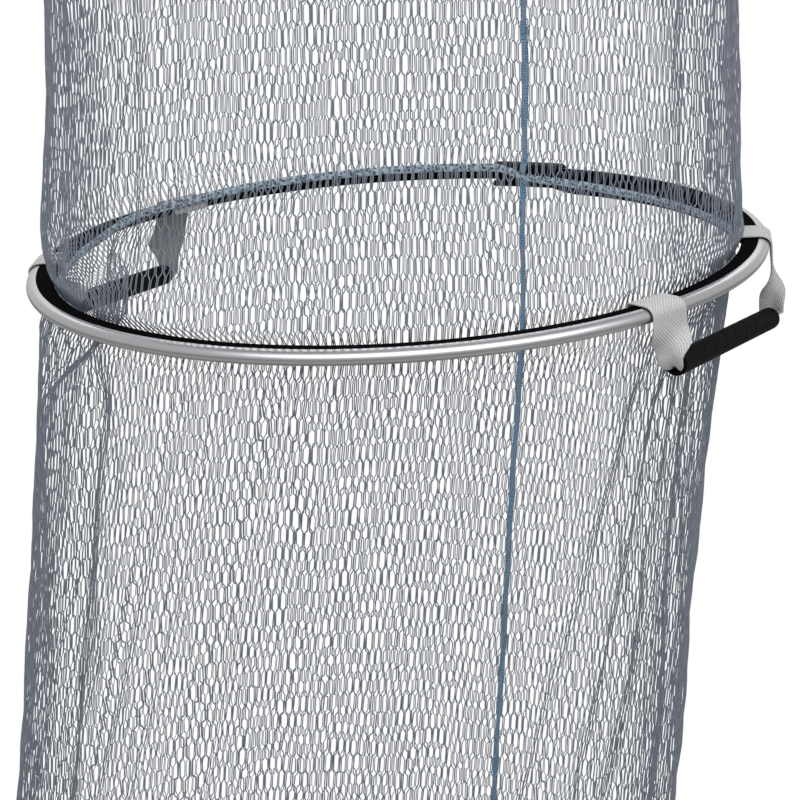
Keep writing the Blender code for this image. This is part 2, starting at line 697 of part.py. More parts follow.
def make_boss(station, looks):
    """The moulded boss on the mouth ring, its brass thread and its two screws."""
    world = Matrix.Identity(4)
    span = BOSS_WIDTH / RING_RADIUS
    saddle = swept(boss_outline(), -math.pi / 2 - span / 2, span, BOSS_STEPS)
    boss = piece("bank_stick_boss", saddle, looks["nylon"], station.body, station.matrix)
    nose_length = BOSS_REACH - SADDLE_DEPTH / 2
    nose = cutter("boss_nose", rod(NOSE_RADIUS, nose_length, NOSE_SIDES), station.body, world)
    boolean(boss, nose, "UNION")
    bore = rod(INSERT_RADIUS + CLEARANCE, INSERT_LENGTH + CLEARANCE + OVERRUN, NOSE_SIDES)
    bmesh.ops.translate(bore, verts=bore.verts, vec=(0, -OVERRUN, 0))
    boolean(boss, cutter("boss_bore", bore, station.body, world), "DIFFERENCE")

    outline = [
        (0, THREAD_DEPTH),
        (THREAD_RADIUS, THREAD_DEPTH),
        (THREAD_RADIUS, INSERT_CHAMFER),
        (THREAD_RADIUS + INSERT_CHAMFER, 0),
        (INSERT_RADIUS, 0),
        (INSERT_RADIUS, INSERT_LENGTH),
        (0, INSERT_LENGTH),
    ]
    insert = solid_of_revolution(outline, NOSE_SIDES)
    inwards = Matrix.Rotation(-math.pi / 2, 4, "X")
    piece("threaded_insert", insert, looks["brass"], station.body, inwards)

    for side, where in ((-1, "left"), (1, "right")):
        turn = -math.pi / 2 + side * SCREW_OFFSET / (RING_RADIUS + SADDLE_DEPTH)
        radius = (RING_RADIUS + SADDLE_DEPTH) * math.cos(span / BOSS_STEPS / 2)
        seat = station.matrix @ Matrix.Rotation(turn, 4, "Z")
        seat = seat @ Matrix.Translation((radius, 0, 0)) @ Matrix.Rotation(math.pi / 2, 4, "Y")
        hole = bmesh.new()
        bmesh.ops.create_cone(
            hole,
            cap_ends=True,
            segments=SCREW_SIDES,
            radius1=SCREW_SHANK_RADIUS + CLEARANCE,
            radius2=SCREW_SHANK_RADIUS + CLEARANCE,
            depth=2 * (SCREW_SHANK_LENGTH + CLEARANCE),
        )
        boolean(boss, cutter(f"screw_hole_{where}", hole, station.body, seat), "DIFFERENCE")
        crown = SCREW_HEAD_RADIUS - SCREW_HEAD_HEIGHT / 2
        screw = solid_of_revolution(
            [
                (0, -SCREW_SHANK_LENGTH),
                (SCREW_SHANK_RADIUS, -SCREW_SHANK_LENGTH),
                (SCREW_SHANK_RADIUS, CLEARANCE),
                (SCREW_HEAD_RADIUS, CLEARANCE),
                (SCREW_HEAD_RADIUS, CLEARANCE + SCREW_HEAD_HEIGHT / 2),
                (crown, CLEARANCE + SCREW_HEAD_HEIGHT),
                (0, CLEARANCE + SCREW_HEAD_HEIGHT),
            ],
            SCREW_SIDES,
        )
        piece(f"boss_screw_{where}", screw, looks["steel"], station.body, seat)


def slipped_hem():
    """How the handle ring's hem lies on its liner: lower on one side than on the other."""
    low = math.radians(HEM_LOW_AZIMUTH_DEG)
    across = Vector((-math.sin(low), math.cos(low), 0))
    slope = math.atan(HEM_SLIP / LINER_INNER_RADIUS)
    return Matrix.Translation((0, 0, -HEM_DROP)) @ Matrix.Rotation(slope, 4, across)


def make_stations():
    """The four rings from the mouth down: their frames, their bodies and their hems' radii."""
    plain_hem = LINER_INNER_RADIUS - CLEARANCE
    strapped_hem = plain_hem - STRAP_EASE - STRAP_THICKNESS - CLEARANCE - HEM_EASE
    place = Vector((0, RING_RADIUS + BOSS_REACH, 0))
    down = Vector((-math.sin(LEAN), 0, -math.cos(LEAN)))
    rows = (
        ("mouth_ring", Vector((0, 0, 0)), 0.0, plain_hem),
        ("handle_ring", Vector((0, 0, -UPPER_SPACING)), HANDLE_RING_TILT, strapped_hem),
        ("middle_ring", down * LOWER_SPACING, 0.0, plain_hem),
        ("base_ring", down * LOWER_SPACING, 0.0, plain_hem),
    )
    stations, parent = [], None
    for name, step, tilt, hem in rows:
        place = place + step
        matrix = Matrix.Translation(place) @ Matrix.Rotation(-tilt, 4, "Y")
        parent = empty(f"{name}_body", matrix, parent)
        bpy.context.view_layer.update()
        hem_matrix = matrix @ slipped_hem() if name == "handle_ring" else matrix
        stations.append(Station(name, parent, matrix, hem_matrix, hem))
    return stations


def main():
    for old in list(bpy.data.objects):
        bpy.data.objects.remove(old)
    looks = make_materials()
    mouth, handle, middle, base = stations = make_stations()
    for station in stations:
        make_ring(station, looks)
    make_boss(mouth, looks)
    drift = math.radians(SEAM_DRIFT_DEG)
    make_section("upper", Section(mouth, handle, UPPER_NET_RADIUS), looks)
    slung = Section(handle, middle, NET_RADIUS, slack=True, drift=drift, pressed=True)
    make_section("middle", slung, looks)
    make_section("lower", Section(middle, base, NET_RADIUS, slack=True), looks)
    make_base_net(base, looks)
    hung = RIM_ARC_POINTS // 2
    right_ends = {
        -1: GripEnd("front", RIGHT_INSET, RIGHT_FRONT_DROP, hung),
        1: GripEnd("rear", RIGHT_INSET, RIGHT_REAR_DROP, hung),
    }
    left_ends = {
        -1: GripEnd("rear", LEFT_REAR_INSET, LEFT_REAR_DROP, hung),
        1: GripEnd("front", LEFT_FRONT_INSET, LEFT_FRONT_DROP, RIM_ARC_POINTS),
    }
    make_handle("right", 0.0, right_ends, handle, looks)
    make_handle("left", math.pi, left_ends, handle, looks)


main()
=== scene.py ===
"""A hanging keep net: lined aluminium rings, knitted netting and handles on webbing straps.

Every length is in metres unless a property says otherwise. A ring's pieces are shaped round the
Z axis and then carried to the ring's place, and the netting is knitted flat and then wrapped
round its section.
"""

import math
from functools import partial

import bmesh
import bpy
import numpy as np
from bpy.props import FloatProperty, FloatVectorProperty, IntProperty, StringProperty
from mathutils import Matrix, Vector


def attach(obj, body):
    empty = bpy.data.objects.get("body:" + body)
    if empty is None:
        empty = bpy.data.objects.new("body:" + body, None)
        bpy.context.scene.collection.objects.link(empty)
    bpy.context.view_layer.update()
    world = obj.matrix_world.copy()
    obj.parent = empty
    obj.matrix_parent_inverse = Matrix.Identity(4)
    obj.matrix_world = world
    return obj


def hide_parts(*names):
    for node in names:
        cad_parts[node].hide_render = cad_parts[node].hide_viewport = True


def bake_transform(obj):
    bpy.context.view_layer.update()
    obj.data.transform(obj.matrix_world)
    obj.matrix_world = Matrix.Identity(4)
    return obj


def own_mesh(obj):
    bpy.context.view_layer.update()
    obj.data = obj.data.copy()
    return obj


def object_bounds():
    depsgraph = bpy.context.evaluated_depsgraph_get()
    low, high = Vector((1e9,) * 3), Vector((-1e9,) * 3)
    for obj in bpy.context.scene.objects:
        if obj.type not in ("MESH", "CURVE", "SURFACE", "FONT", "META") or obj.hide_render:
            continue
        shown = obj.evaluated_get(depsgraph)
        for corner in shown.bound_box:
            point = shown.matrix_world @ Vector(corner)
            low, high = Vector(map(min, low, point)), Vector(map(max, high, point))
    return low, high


bl_info = {
    "name": "Keep Net",
    "version": (1, 0, 0),
    "blender": (4, 5, 0),
    "location": "View3D > Sidebar > Keep Net",
    "description": "Builds a hanging keep net with lined rings, knitted netting and two handles",
    "category": "Add Mesh",
}

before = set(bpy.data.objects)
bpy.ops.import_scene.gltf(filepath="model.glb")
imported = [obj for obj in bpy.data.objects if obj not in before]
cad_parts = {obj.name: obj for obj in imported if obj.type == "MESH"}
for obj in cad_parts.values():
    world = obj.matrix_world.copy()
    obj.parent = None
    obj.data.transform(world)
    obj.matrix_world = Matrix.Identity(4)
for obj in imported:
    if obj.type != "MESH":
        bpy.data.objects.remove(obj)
CAD_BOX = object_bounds()

FULL_TURN = 2 * math.pi
FLOOR_GAP = 0.120

# Where the rings hang
MOUTH_CENTRE = Vector((0, 0.280, 0))
UPPER_SPACING = 0.440
LOWER_SPACING = 0.580
LEAN = math.radians(5.0)
HANDLE_RING_TILT = math.radians(3.9)
SEAM_TURN = math.radians(92.4)

# Radii of the netting, of a hem's outside and of a rim's lips
NETTING_RADIUS = 0.2345
HEM_RADIUS = 0.2304
LIP_RADIUS = 0.2432

# By this radius a width round the netting becomes an angle
ARC_RADIUS = 0.235

# Where the straps lie, in degrees round the handle ring
STRAP_TURNS = (-21.65, 21.65, 158.35, 201.65)

# Where the left handle leans on the netting below its ring
PRESS_TURN = math.radians(193.5)
PRESSED_RADIUS = 0.1975

# The netting's waviness round the net (in radians) and down it: size, seed and two wavelengths
ROUND_WAVES = ((0.0030, 3, 0.045, 0.22), (0.0012, 5, 0.016, 0.10))
DOWN_WAVES = ((0.0016, 7, 0.05, 0.16), (0.0005, 11, 0.015, 0.08))

SLEEVE_LENGTH = 0.055
SEAM_WIDTH = 0.0048
SEAM_THICKNESS = 0.0007

# The grip's bore and its rounded ends, and the pitch and depth of its grooves
GRIP_BORE = 0.0046
GRIP_ROUNDING = 0.0024
GROOVE_PITCH = 0.0190
GROOVE_DEPTH = 0.0004


def linear(hex_colour):
    """A linear RGBA colour from an sRGB hex value such as #8c8c8c."""
    digits = hex_colour.lstrip("#")
    shares = [int(digits[n : n + 2], 16) / 255 for n in (0, 2, 4)]
    return (*(s / 12.92 if s <= 0.04045 else ((s + 0.055) / 1.055) ** 2.4 for s in shares), 1)


# ---------------------------------------------------------------- settings

metres = partial(FloatProperty, unit="LENGTH")
angular = partial(FloatProperty, subtype="ANGLE")


class RingSettings(bpy.types.PropertyGroup):
    """Sizes and colours of the rings."""

    radius: metres(name="Radius", description="Outside of a rim", default=0.250)
    rim_height: metres(name="Rim height", description="Height of the rim", default=0.0100)
    rim_depth: metres(
        name="Rim depth", description="From its outside in to its lips", default=0.0068
    )
    rim_wall: metres(name="Rim wall", description="Wall of the channel", default=0.0012)
    liner_depth: metres(
        name="Liner depth", description="What stands out of the rim", default=0.0117
    )
    liner_height: metres(name="Liner height", description="Height of the liner", default=0.0096)
    rim_colour: StringProperty(
        name="Rim colour", description="Anodised aluminium", default="#9c9d9f"
    )
    liner_colour: StringProperty(
        name="Liner colour", description="Rubber liner", default="#030304"
    )
    sleeve_colour: StringProperty(
        name="Sleeve colour", description="Moulded nylon", default="#0a0a0b"
    )


class NettingSettings(bpy.types.PropertyGroup):
    """Sizes and colours of the netting."""

    columns: IntProperty(name="Columns", description="Meshes round the net", default=288)
    mesh_height: metres(name="Mesh height", description="Pitch of the rows", default=0.0138)
    shoulder: metres(
        name="Shoulder", description="Height of a mesh's slanted part", default=0.0026
    )
    yarn: metres(name="Yarn", description="Thickness of a yarn", default=0.00062)
    leg: metres(name="Leg", description="Width of a mesh's leg", default=0.0017)
    yarn_colour: StringProperty(name="Yarn colour", description="Knitted yarn", default="#737985")
    hem_colour: StringProperty(name="Hem colour", description="Knitted hem", default="#9fb2c0")
    seam_colour: StringProperty(name="Seam colour", description="Seam tape", default="#6489a5")


class HandleSettings(bpy.types.PropertyGroup):
    """Sizes and colours of the handles."""

    strap_width: metres(name="Strap width", description="Width of the webbing", default=0.030)
    strap_thickness: metres(
        name="Strap thickness", description="Thickness of the webbing", default=0.0013
    )
    strap_turn: angular(
        name="Strap place", description="From the handle's middle", default=math.radians(21.65)
    )
    grip_radius: metres(name="Grip radius", description="Outside of the grip", default=0.0074)
    grip_length: metres(name="Grip length", description="Length of the rubber", default=0.176)
    webbing_colour: StringProperty(
        name="Webbing colour", description="Woven polyester", default="#c6c7c7"
    )
    grip_colour: StringProperty(name="Grip colour", description="Foam rubber", default="#040403")


class StageSettings(bpy.types.PropertyGroup):
    """The photograph's view."""

    camera_place: FloatVectorProperty(
        name="Camera",
        description="Place of the camera",
        default=(0.79948, -1.31615, 0.07229),
        subtype="TRANSLATION",
    )
    camera_down: angular(
        name="Down", description="How far the camera looks down", default=math.radians(19.07)
    )
    camera_turn: angular(
        name="Turn", description="Heading of the camera", default=math.radians(26.54)
    )
    lens: FloatProperty(name="Lens", description="Focal length in millimetres", default=123.30)


# ---------------------------------------------------------------- meshes


class Station:
    """A ring's name and place, and how its hem lies on it."""

    def __init__(self, name, centre, tilt, loose=False):
        self.name, self.loose = name, loose
        self.matrix = Matrix.Translation(centre) @ Matrix.Rotation(-tilt, 4, "Y")
        self.hem_low, self.hem_high = (-0.0030, 0.0030) if loose else (-0.0045, 0.0045)

    def hem_radius(self, turn):
        """The outside of the hem: further in where straps run behind it."""
        straps = sum(near(turn, math.radians(strap), 0.13) for strap in STRAP_TURNS)
        return HEM_RADIUS - self.loose * 0.0028 * np.clip(straps * 1.6, 0, 1)

    def hem_rise(self, turn):
        """How far a loose hem lies above the ring's middle: it has slipped down at the right."""
        left = stretch_of(turn, 90, 98, 168, 190)
        right = stretch_of(turn, 20, 48, 62, 97)
        return self.loose * (-0.0010 + 0.0078 * left - 0.0046 * right)


def stations():
    """The four rings from the mouth down."""
    down = Vector((-math.sin(LEAN), 0, -math.cos(LEAN)))
    handle = MOUTH_CENTRE + Vector((0, 0, -UPPER_SPACING))
    middle = handle + down * LOWER_SPACING
    base = middle + down * LOWER_SPACING
    return (
        Station("mouth_ring", MOUTH_CENTRE, 0),
        Station("handle_ring", handle, HANDLE_RING_TILT, True),
        Station("middle_ring", middle, 0),
        Station("base_ring", base, 0),
    )


def add_piece(name, shape, material, body, slot, replaces=()):
    """Makes a finished object from a bmesh whose place is in its vertices."""
    mesh = bpy.data.meshes.new(name)
    shape.to_mesh(mesh)
    shape.free()
    return add_mesh(name, mesh, material, body, slot, replaces)


def add_mesh(name, mesh, material, body, slot, replaces=()):
    """Makes a finished object from a mesh whose place is in its vertices."""
    mesh.materials.clear()
    mesh.materials.append(material)
    mesh.shade_smooth()
    made = bpy.data.objects.new(name, mesh)
    bpy.context.collection.objects.link(made)
    if body:
        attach(made, body)
    if replaces:
        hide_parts(*replaces)
    return made


def lay(mesh, place):
    """Moves a flat mesh's points to where a function of their coordinates puts them."""
    flat = np.empty(len(mesh.vertices) * 3, dtype=np.float32)
    mesh.vertices.foreach_get("co", flat)
    places = place(*flat.reshape(-1, 3).astype(np.float64).T)
    mesh.vertices.foreach_set("co", places.astype(np.float32).ravel())
    mesh.update()


def turned(outline, steps, closed=True, start=0.0, angle=FULL_TURN):
    """A bmesh turned round Z from a closed outline of (radius, height) points."""
    shape = bmesh.new()
    points = [shape.verts.new((r, 0, z)) for r, z in outline]
    pairs = list(zip(points, points[1:] + points[:1] if closed else points[1:]))
    for one, two in pairs:
        shape.edges.new((one, two))
    if angle < FULL_TURN:
        shape.faces.new(points)
    bmesh.ops.rotate(shape, verts=shape.verts, matrix=Matrix.Rotation(start, 3, "Z"))
    geometry = shape.faces[:] if angle < FULL_TURN else shape.edges[:]
    options = {"axis": (0, 0, 1), "cent": (0, 0, 0), "use_merge": angle >= FULL_TURN}
    bmesh.ops.spin(shape, geom=geometry, angle=angle, steps=steps, **options)
    bmesh.ops.remove_doubles(shape, verts=shape.verts, dist=1e-6)
    bmesh.ops.recalc_face_normals(shape, faces=shape.faces)
    return shape


def arc(centre, radii, first, last, steps):
    """(x, z) points of an elliptic arc, with its angles in degrees."""
    turns = [math.radians(first + (last - first) * n / steps) for n in range(steps + 1)]
    return [
        (centre[0] + radii[0] * math.cos(t), centre[1] + radii[1] * math.sin(t)) for t in turns
    ]


def smooth(x):
    """A smooth step from 0 to 1, also on arrays."""
    x = np.clip(x, 0.0, 1.0)
    return x * x * (3 - 2 * x)


def wander(turn, down, seed, around, along):
    """A seamless waviness of about -1 to 1, with its wavelengths round the net and down it."""
    total = 0.0
    for n in range(5):
        one = math.sin(12.9898 * (seed + n)) * 43.758
        two = math.sin(78.233 * (seed + n)) * 25.631
        count = max(1, round(FULL_TURN * ARC_RADIUS / around * (0.55 + 0.28 * n)))
        pace = FULL_TURN / along * (0.5 + 0.23 * ((n * 2) % 5))
        sign = 1 if n % 2 else -1
        total = total + np.sin(count * turn + sign * pace * down + one) * math.cos(two) * 0.55
    return total


def stretch_of(turn, start, first, last, end):
    """1 between two azimuths in degrees, fading to 0 at the ones before and after them."""
    middle = (first + last) / 2
    off = np.degrees((turn - math.radians(middle) + math.pi) % FULL_TURN - math.pi)
    rising = smooth((off + middle - start) / (first - start))
    return rising * smooth((end - middle - off) / (end - last))


def near(turn, middle, width):
    """1 at an azimuth, fading to 0 a few widths away round the net."""
    off = (turn - middle + math.pi) % FULL_TURN - math.pi
    return np.exp(-((off / width) ** 2))


# ---------------------------------------------------------------- materials


def add_node(tree, kind, settings=None, sources=(), **links):
    """Adds a node, sets its values by input or property name, and links its inputs.

    Sources are linked to its first inputs, and links to those of their names.
    """
    node = tree.nodes.new(kind)
    for key, value in (settings or {}).items():
        if key in node.inputs:
            node.inputs[key].default_value = value
        else:
            setattr(node, key, value)
    for n, source in enumerate(sources):
        tree.links.new(source, node.inputs[n])
    for key, source in links.items():
        tree.links.new(source, node.inputs[key.replace("_", " ")])
    return node


def add_bump(tree, surface, height, strength, distance):
    """Gives a surface the relief of a height output."""
    settings = {"Strength": strength, "Distance": distance}
    bump = add_node(tree, "ShaderNodeBump", settings, Height=height)
    tree.links.new(bump.outputs["Normal"], surface.inputs["Normal"])


def add_grain(tree, surface, scale, detail, strength, distance):
    """Gives a surface a fine irregular relief."""
    place = add_node(tree, "ShaderNodeTexCoord").outputs["Object"]
    settings = {"Scale": scale, "Detail": detail}
    grain = add_node(tree, "ShaderNodeTexNoise", settings, Vector=place)
    add_bump(tree, surface, grain.outputs["Fac"], strength, distance)


def new_material(name, colour, roughness, metallic=0.0):
    """A Principled material, its node tree and its surface node."""
    made = bpy.data.materials.new(name)
    made.use_nodes = True
    tree = made.node_tree
    surface = tree.nodes["Principled BSDF"]
    surface.inputs["Base Color"].default_value = linear(colour)
    surface.inputs["Roughness"].default_value = roughness
    surface.inputs["Metallic"].default_value = metallic
    return made, tree, surface


def anodised_aluminium(colour):
    """Extruded and bent aluminium, satin anodised: soft broad highlights, faint mottling."""
    made, tree, surface = new_material("satin_anodised_aluminium", colour, 0.30, 1.0)
    add_grain(tree, surface, 900.0, 3.0, 0.04, 0.0002)
    place = add_node(tree, "ShaderNodeTexCoord").outputs["Object"]
    tone = add_node(tree, "ShaderNodeTexNoise", {"Scale": 22.0, "Detail": 2.0}, Vector=place)
    ramp = add_node(
        tree,
        "ShaderNodeMapRange",
        {"From Min": 0.3, "From Max": 0.7, "To Min": 0.30, "To Max": 0.34},
        Value=tone.outputs["Fac"],
    )
    tree.links.new(ramp.outputs["Result"], surface.inputs["Roughness"])
    return made


def liner_rubber(colour):
    """Closed-cell rubber strip: very black and matt, with a fine skin."""
    made, tree, surface = new_material("closed_cell_rubber", colour, 0.9)
    surface.inputs["Specular IOR Level"].default_value = 0.01
    add_grain(tree, surface, 1400.0, 2.0, 0.25, 0.0003)
    return made


def moulded_nylon(colour):
    """Injection moulded nylon: black with a fine spark texture."""
    made, tree, surface = new_material("moulded_nylon", colour, 0.6)
    surface.inputs["Specular IOR Level"].default_value = 0.05
    place = add_node(tree, "ShaderNodeTexCoord").outputs["Object"]
    grain = add_node(tree, "ShaderNodeTexVoronoi", {"Scale": 1600.0}, Vector=place)
    add_bump(tree, surface, grain.outputs["Distance"], 0.3, 0.0002)
    return made


def knitted_yarn(colour):
    """Knitted polyester yarn: matt, with a slight sheen where it catches the light."""
    made, _, surface = new_material("knitted_polyester_yarn", colour, 0.55)
    surface.inputs["Specular IOR Level"].default_value = 0.3
    return made


def knitted_hem(colour):
    """Densely knitted hem band: pale blue-grey loops with dark gaps between them."""
    made, tree, surface = new_material("knitted_hem_band", colour, 0.8)
    place = add_node(tree, "ShaderNodeTexCoord").outputs["Object"]
    # The gaps are drawn about 2.6 mm apart, as the photograph shows them.
    gaps = add_node(tree, "ShaderNodeTexVoronoi", {"Scale": 380.0, "Randomness": 0.7}, Vector=place)
    depth = add_node(
        tree,
        "ShaderNodeMapRange",
        {"From Min": 0.34, "From Max": 0.58, "To Min": 0.0, "To Max": 1.0},
        Value=gaps.outputs["Distance"],
    )
    tone = add_node(tree, "ShaderNodeMix", {"data_type": "RGBA"}, Factor=depth.outputs["Result"])
    base = linear(colour)
    tone.inputs["A"].default_value = tuple(c * 0.16 for c in base[:3]) + (1,)
    tone.inputs["B"].default_value = base
    tree.links.new(tone.outputs["Result"], surface.inputs["Base Color"])
    return made


def wave_scale(pitch):
    """The wave texture's scale for bands a pitch in metres apart."""
    return 1 / pitch / 20 * FULL_TURN


def seam_tape(colour):
    """Knitted seam tape: blue and matt."""
    made, tree, surface = new_material("knitted_seam_tape", colour, 0.8)
    place = add_node(tree, "ShaderNodeTexCoord").outputs["Object"]
    loops = add_node(
        tree,
        "ShaderNodeTexWave",
        {"wave_type": "BANDS", "bands_direction": "Z", "Scale": wave_scale(0.0022)},
        Vector=place,
    )
    add_bump(tree, surface, loops.outputs["Fac"], 0.6, 0.0006)
    return made


def woven_webbing(colour):
    """Polyester webbing in a coarse herringbone, with painted shade in the weave's hollows and
    painted highlight on its crowns: its UV map runs in metres along the strap.
    """
    made, tree, surface = new_material("woven_polyester_webbing", colour, 0.75)
    surface.inputs["Sheen Weight"].default_value = 0.15
    place = add_node(tree, "ShaderNodeUVMap", {"uv_map": "strap"}).outputs["UV"]
    # Threads 1.7 mm apart, crossed at 45 degrees, as the photograph shows.
    bands = {"wave_type": "BANDS", "bands_direction": "X", "Scale": wave_scale(0.0017)}
    heights = []
    for turn in (45, -45):
        turned_place = add_node(
            tree, "ShaderNodeMapping", {"Rotation": (0, 0, math.radians(turn))}, Vector=place
        )
        thread = add_node(tree, "ShaderNodeTexWave", bands, Vector=turned_place.outputs["Vector"])
        heights.append(thread.outputs["Fac"])
    weave = add_node(tree, "ShaderNodeMath", {"operation": "MULTIPLY"}, heights)
    # Painted shade and highlight: the webbing is darker in the weave's hollows and lighter on its
    # crowns, following the same height as its bump.
    tone = add_node(tree, "ShaderNodeMix", {"data_type": "RGBA"}, Factor=weave.outputs["Value"])
    base = linear(colour)
    tone.inputs["A"].default_value = tuple(c * 0.50 for c in base[:3]) + (1,)
    tone.inputs["B"].default_value = tuple(min(1.0, c * 1.12) for c in base[:3]) + (1,)
    tree.links.new(tone.outputs["Result"], surface.inputs["Base Color"])
    add_bump(tree, surface, weave.outputs["Value"], 0.7, 0.0005)
    return made


def grip_rubber(colour):
    """Moulded rubber grip: black, matt, finely pitted."""
    made, tree, surface = new_material("moulded_rubber_grip", colour, 0.7)
    surface.inputs["Specular IOR Level"].default_value = 0.05
    add_grain(tree, surface, 1100.0, 2.0, 0.3, 0.0003)
    return made


def turned_metal(name, colour, roughness):
    """Turned metal with fine tool marks."""
    made, tree, surface = new_material(name, colour, roughness, 1.0)
    add_grain(tree, surface, 700.0, 2.0, 0.1, 0.0002)
    return made


# ---------------------------------------------------------------- rings


class KEEPNET_OT_rings(bpy.types.Operator):
    """Build each ring's rim, liner, joint sleeve and hem"""

    bl_idname = "keepnet.rings"
    bl_label = "Rings"

    def execute(self, context):
        sizes = context.scene.keepnet_rings
        netting = context.scene.keepnet_netting
        looks = {
            "rim": (anodised_aluminium(sizes.rim_colour), "anodised_aluminium"),
            "liner": (liner_rubber(sizes.liner_colour), "black_rubber"),
            "joint_sleeve": (moulded_nylon(sizes.sleeve_colour), "black_nylon"),
            "net_hem": (knitted_hem(netting.hem_colour), "knitted_netting"),
        }
        for station in stations():
            shapes = {
                "rim": self.rim(sizes),
                "liner": self.liner(sizes, station.loose),
                "joint_sleeve": self.sleeve(sizes),
                "net_hem": self.hem(station),
            }
            for kind, shape in shapes.items():
                bmesh.ops.transform(shape, matrix=station.matrix, verts=shape.verts)
                material, slot = looks[kind]
                node = f"{station.name}_{kind}"
                made = add_piece(f"{node}_shown", shape, material, station.name, slot, (node,))
                made.data.set_sharp_from_angle(angle=math.radians(50))
        return {"FINISHED"}

    def rim(self, sizes):
        """The half-round channel, closed under the joint sleeve."""
        lip = sizes.radius - sizes.rim_depth
        half = sizes.rim_height / 2
        outer = arc((lip, 0), (sizes.rim_depth, half), 90, -90, 16)
        inner = arc((lip, 0), (sizes.rim_depth - sizes.rim_wall, half - sizes.rim_wall), 90, -90, 8)
        return turned(outer + inner[::-1], 216)

    def liner(self, sizes, loose):
        """The rubber strip with rounded corners: a loose one is rolled up behind and pulled down."""
        outer = sizes.radius - sizes.rim_depth - 0.0002
        inner = outer - sizes.liner_depth
        half = sizes.liner_height / 2
        corner = 0.0034
        upper = arc((inner + corner, half - corner), (corner, corner), 180, 90, 6)
        upper += [(outer, half), (outer, 0.0034), (outer + 0.0042, 0.0018)]
        lower = [(x, -z) for x, z in reversed(upper)]
        shape = turned(upper + lower, 180)
        for vert in shape.verts:
            turn = math.atan2(vert.co.y, vert.co.x)
            inside = float(smooth((outer - 0.0005 - math.hypot(vert.co.x, vert.co.y)) / 0.003))
            tall = 1 - 0.66 * float(stretch_of(turn, 94, 100, 170, 184))
            tall += 0.75 * float(stretch_of(turn, 20, 34, 82, 92))
            if loose:
                vert.co.z = half - (half - vert.co.z) * (1 + (tall - 1) * inside)
        return shape

    def sleeve(self, sizes):
        """The moulded cover over the rim's joint."""
        lip = sizes.radius - sizes.rim_depth
        half = sizes.rim_height / 2
        tall = half + 0.0034
        outer = arc((lip, 0), (sizes.rim_depth + 0.0025, tall), 90, -90, 14)
        inner = arc((lip, 0), (sizes.rim_depth + 0.0003, half + 0.0003), 90, -90, 8)
        cheek = lip - 0.0104
        outline = [(cheek + 0.0014, tall)] + outer + [(cheek + 0.0014, -tall)]
        outline += [(cheek, -half - 0.0020), (cheek, -half - 0.0003)] + inner[::-1]
        outline += [(cheek, half + 0.0003), (cheek, half + 0.0020)]
        span = SLEEVE_LENGTH / sizes.radius
        shape = turned(outline, 16, start=SEAM_TURN - span / 2, angle=span)
        rim = [e for e in shape.edges if e.calc_face_angle(0) > math.radians(60)]
        options = {"profile": 0.5, "affect": "EDGES", "material": -1, "clamp_overlap": True}
        bmesh.ops.bevel(shape, geom=rim, offset=0.0007, segments=2, **options)
        return shape

    def hem(self, station):
        """The dense band that the netting is sewn to."""
        low, high = station.hem_low, station.hem_high
        corners = ((-0.0011, 0.0004), (-0.0008, 0), (-0.0003, 0), (0.0, 0.0004))
        outline = [(x, low + z) for x, z in corners] + [(x, high - z) for x, z in corners[::-1]]
        shape = turned([(1 + x, z) for x, z in outline], 240)
        for vert in shape.verts:
            out = math.hypot(vert.co.x, vert.co.y)
            turn = math.atan2(vert.co.y, vert.co.x)
            radius = float(station.hem_radius(turn)) + out - 1
            rise = float(station.hem_rise(turn))
            vert.co = Vector((vert.co.x / out * radius, vert.co.y / out * radius, vert.co.z + rise))
        return shape


# ---------------------------------------------------------------- netting


class Fold:
    """A fold that runs down the netting from one azimuth to another."""

    def __init__(self, top, bottom, depth, width, gather, start=0.0, end=0.7, bend=1.0):
        self.top, self.bottom = math.radians(top), math.radians(bottom)
        self.depth, self.width, self.gather = depth, width, gather
        self.start, self.end, self.bend = start, end, bend

    def place(self, down, length):
        """Its azimuth at a distance down the section."""
        share = np.clip(down / length, 0, 1) ** self.bend
        return self.top + (self.bottom - self.top) * share

    def shape(self, turn, down, length):
        """1 on the fold and 0 away from it: it fades in below its start and out above its end."""
        along = smooth((down - self.start) / 0.05) * smooth((self.end - down) / 0.05)
        ends = smooth(down / 0.03) * smooth((length - down) / 0.05)
        return near(turn, self.place(down, length), self.width / ARC_RADIUS) * along * ends


